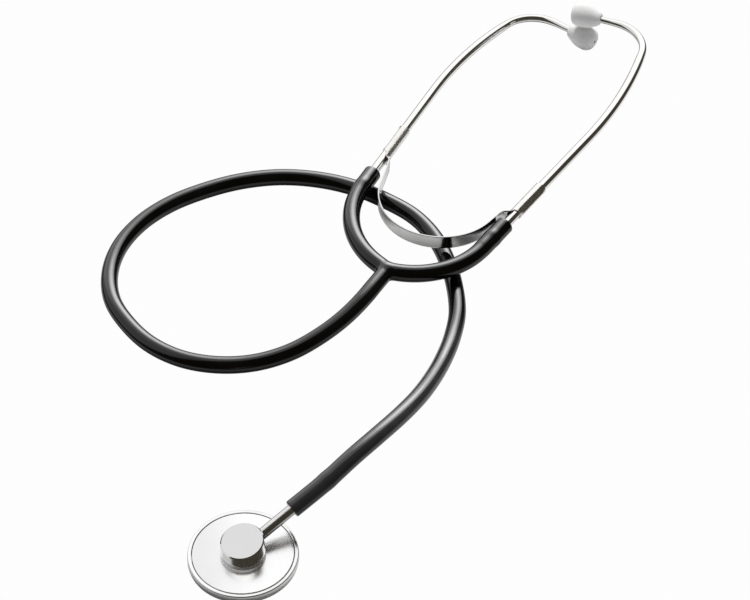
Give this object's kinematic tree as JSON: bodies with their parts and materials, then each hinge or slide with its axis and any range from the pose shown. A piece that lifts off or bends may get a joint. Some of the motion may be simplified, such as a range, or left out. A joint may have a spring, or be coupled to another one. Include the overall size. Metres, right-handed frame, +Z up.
{
  "type": "single-head stethoscope",
  "caption": "Single-head stethoscope with a knurled diaphragm chest piece, flexible hose, moulded yoke, leaf-sprung chrome ear tubes and soft ear tips, laid out with its hose in a loop.",
  "frame": {"origin": "middle of the diaphragm's face, which lies on the table", "axes": "+Y along the headset's centre line towards the ear tips, +X towards the right ear tube, +Z up from the table"},
  "size_m": [0.1877, 0.41, 0.0274],
  "materials": {
    "plate_metal": "bright plating, mirror smooth",
    "ring_metal": "bright plating over a fine straight knurl",
    "diaphragm_film": "smooth stiff sheet",
    "hub_metal": "plated, top finely turned",
    "stem_metal": "plated, slightly dull",
    "black_tubing": "smooth glossy black flexible tubing",
    "spring_steel": "plated strip with a fine grain along it",
    "tube_chrome": "bright plating, mirror smooth",
    "ear_tip_plastic": "soft off-white plastic, slightly translucent"
  },
  "bodies": {
    "frame": {"head_plate": "plate_metal", "hub": "hub_metal", "stem": "stem_metal", "hose": "black_tubing", "yoke": "black_tubing", "leaf_spring": "spring_steel"},
    "diaphragm": {"diaphragm": "diaphragm_film"},
    "ring": {"retaining_ring": "ring_metal"},
    "left_side": {"ear_tube_left": "tube_chrome", "spring_sleeve_left": "spring_steel"},
    "right_side": {"ear_tube_right": "tube_chrome", "spring_sleeve_right": "spring_steel"},
    "left_tip": {"ear_tip_left": "ear_tip_plastic"},
    "right_tip": {"ear_tip_right": "ear_tip_plastic"}
  },
  "joints": [
    {"name": "ring_drop", "type": "slide", "parent": "frame", "child": "diaphragm", "axis": [0, 0, -1], "range_m": [0, 0.003]},
    {"name": "ring_turn", "type": "hinge", "parent": "diaphragm", "child": "ring", "pos_m": [0, 0, 0], "axis": [0, 0, -1], "range_deg": [0, 1080]},
    {"name": "left_spread", "type": "hinge", "parent": "frame", "child": "left_side", "pos_m": [-0.054, 0.212, 0.0133], "axis": [0, 0, 1], "range_deg": [0, 22], "stiffness_Nm_per_rad": 0.8, "deforming": ["leaf_spring", "yoke"]},
    {"name": "right_spread", "type": "hinge", "parent": "frame", "child": "right_side", "pos_m": [-0.015, 0.212, 0.0133], "axis": [0, 0, -1], "range_deg": [0, 22], "stiffness_Nm_per_rad": 0.8, "deforming": ["leaf_spring", "yoke"]},
    {"name": "left_tip_turn", "type": "hinge", "parent": "left_side", "child": "left_tip", "pos_m": [-0.03294, 0.3795, 0.0065], "axis": [0.9912, -0.1321, 0.0095], "continuous": true},
    {"name": "right_tip_turn", "type": "hinge", "parent": "right_side", "child": "right_tip", "pos_m": [-0.03546, 0.37949, 0.0206], "axis": [-0.9912, -0.132, -0.0096], "continuous": true}
  ],
  "couplings": [
    {"joint": "ring_drop", "follows": "ring_turn", "m_per_rad": 0.000159}
  ]
}
